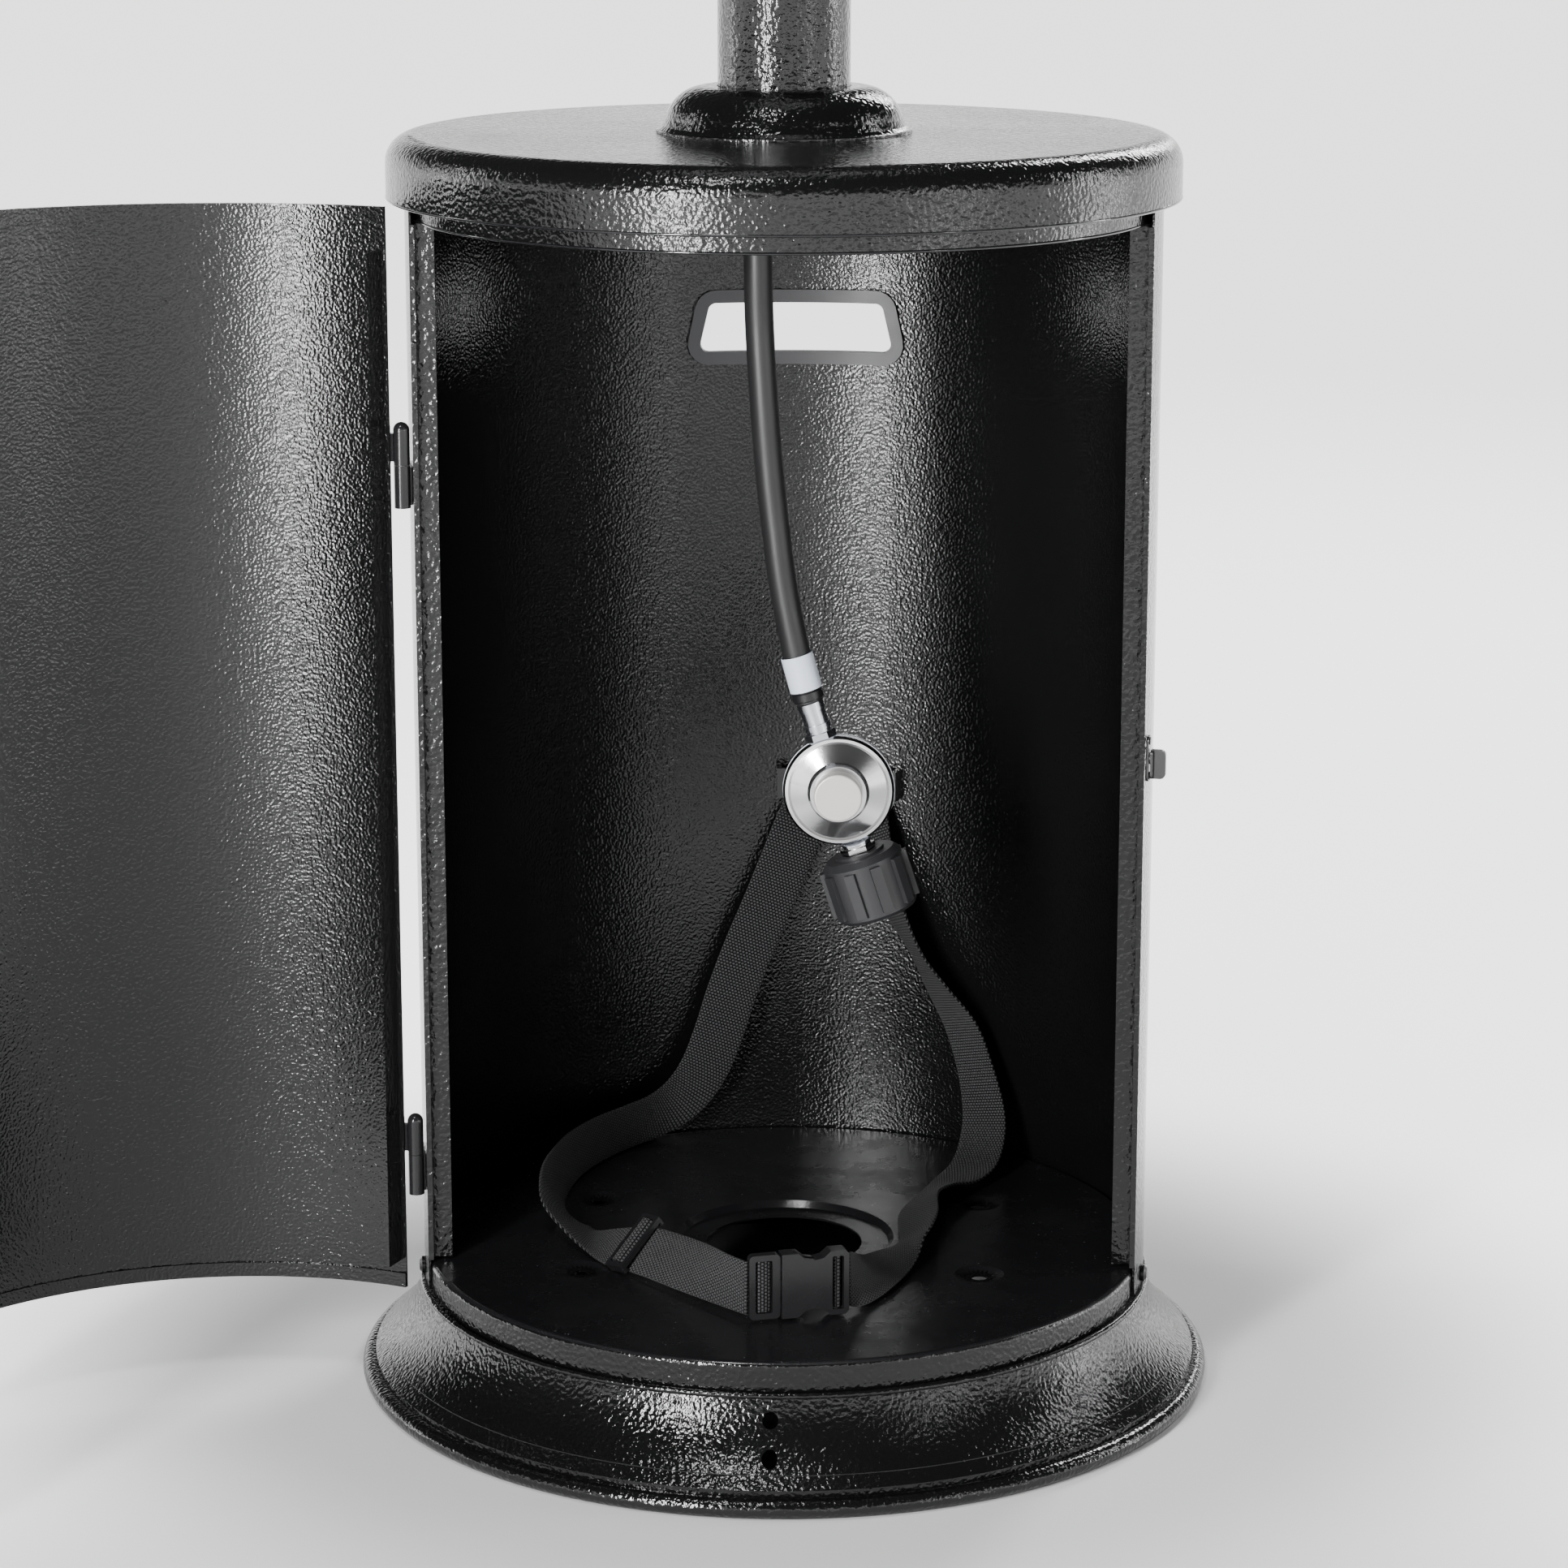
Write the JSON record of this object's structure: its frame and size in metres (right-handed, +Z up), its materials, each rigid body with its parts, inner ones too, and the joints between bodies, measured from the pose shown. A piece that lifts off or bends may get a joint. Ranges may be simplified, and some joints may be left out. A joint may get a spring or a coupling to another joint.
{
  "type": "outdoor heater",
  "caption": "Free-standing gas patio heater: round steel bottle cabinet with a hinged curved door, pole, burner head and domed reflector, with hose, regulator and bottle strap.",
  "frame": {"origin": "on the cabinet's axis, at the ground plane the base's rolled rim stands on", "axes": "+Z up along the pole, -Y towards the door side, +X to the right seen from the door side"},
  "size_m": [0.8981, 0.813, 2.2039],
  "materials": {
    "cabinet_black": "glossy black hammertone powder coat",
    "panel_black": "smooth satin black inside, lightly dusted",
    "steel_bright": "satin stainless steel",
    "zinc": "bright zinc plate",
    "screw_black": "black oxide",
    "hose_rubber": "matt black rubber with a fine braid under the skin",
    "tag_pale": "pale blue white sleeve",
    "cap_white": "warm off-white enamel",
    "nut_plastic": "dark grey moulded plastic",
    "webbing": "coarse woven black webbing",
    "buckle_black": "satin black moulded plastic",
    "brass": "plain turned brass",
    "black_plastic": "black moulded plastic",
    "red_plastic": "red moulded plastic",
    "copper": "drawn copper",
    "emitter_steel": "perforated stainless steel",
    "aluminium": "spun bright aluminium"
  },
  "bodies": {
    "cabinet": {"base_pan": "cabinet_black", "base_screws": "screw_black", "cabinet_shell": "cabinet_black", "handle_trim": "black_plastic", "header_pan": "panel_black", "header_screws": "screw_black", "lid": "cabinet_black", "collar": "black_plastic", "pole_socket": "screw_black", "socket_bolts": "zinc", "pole": "cabinet_black", "pole_flange": "screw_black", "jamb_leaf_upper": "screw_black", "jamb_leaf_lower": "screw_black", "hinge_pins": "zinc", "cabinet_rivets": "screw_black", "latch_plate": "screw_black", "hose_grommet": "hose_rubber", "hose_riser": "hose_rubber", "hose_drop": "hose_rubber", "hose_tag": "tag_pale", "hose_ferrule": "zinc", "regulator_body": "zinc", "regulator_bonnet": "zinc", "regulator_cap": "cap_white", "inlet_nipple": "brass", "strap_anchor": "screw_black", "strap_left": "webbing", "strap_right": "webbing", "tri_glide": "buckle_black", "buckle_male": "buckle_black", "buckle_female": "buckle_black", "housing_base": "screw_black", "housing_bolts": "zinc", "control_housing": "cabinet_black", "housing_screws": "zinc", "gas_valve": "brass", "knob_bezel": "steel_bright", "igniter_body": "black_plastic", "tilt_switch": "black_plastic", "gas_tube": "copper", "burner_pipe": "zinc", "burner_dish": "steel_bright", "pilot_burner": "brass", "thermocouple": "copper", "emitter_screen": "emitter_steel", "emitter_top": "steel_bright", "reflector_studs": "zinc", "reflector_dome": "aluminium", "wing_nuts": "zinc"},
    "door": {"door_panel": "cabinet_black", "door_leaf_upper": "screw_black", "door_leaf_lower": "screw_black", "door_rivets": "screw_black"},
    "latch": {"latch_turn": "screw_black"},
    "nut": {"hand_nut": "nut_plastic"},
    "stem": {"valve_stem": "brass"},
    "knob": {"control_knob": "black_plastic"},
    "igniter": {"igniter_button": "red_plastic"}
  },
  "joints": [
    {"name": "door_hinge", "type": "hinge", "parent": "cabinet", "child": "door", "pos_m": [-0.20221, -0.05042, 0.33], "axis": [0, 0, 1], "range_deg": [-32, 128]},
    {"name": "latch_turn", "type": "hinge", "parent": "cabinet", "child": "latch", "pos_m": [0.19961, -0.04755, 0.363], "axis": [0.9728, -0.2317, 0], "range_deg": [-90, 0]},
    {"name": "nut_spin", "type": "hinge", "parent": "cabinet", "child": "nut", "pos_m": [0.03022, 0, 0.33287], "axis": [-0.309, 0, 0.9511], "continuous": true},
    {"name": "knob_push", "type": "slide", "parent": "cabinet", "child": "stem", "axis": [0, 1, 0], "range_m": [0, 0.004], "stiffness_N_per_m": 800},
    {"name": "knob_turn", "type": "hinge", "parent": "stem", "child": "knob", "pos_m": [0, -0.112, 1.7792], "axis": [0, -1, 0], "range_deg": [0, 210]},
    {"name": "igniter_press", "type": "slide", "parent": "cabinet", "child": "igniter", "axis": [-0.4695, 0.8829, 0], "range_m": [0, 0.006], "stiffness_N_per_m": 600}
  ]
}
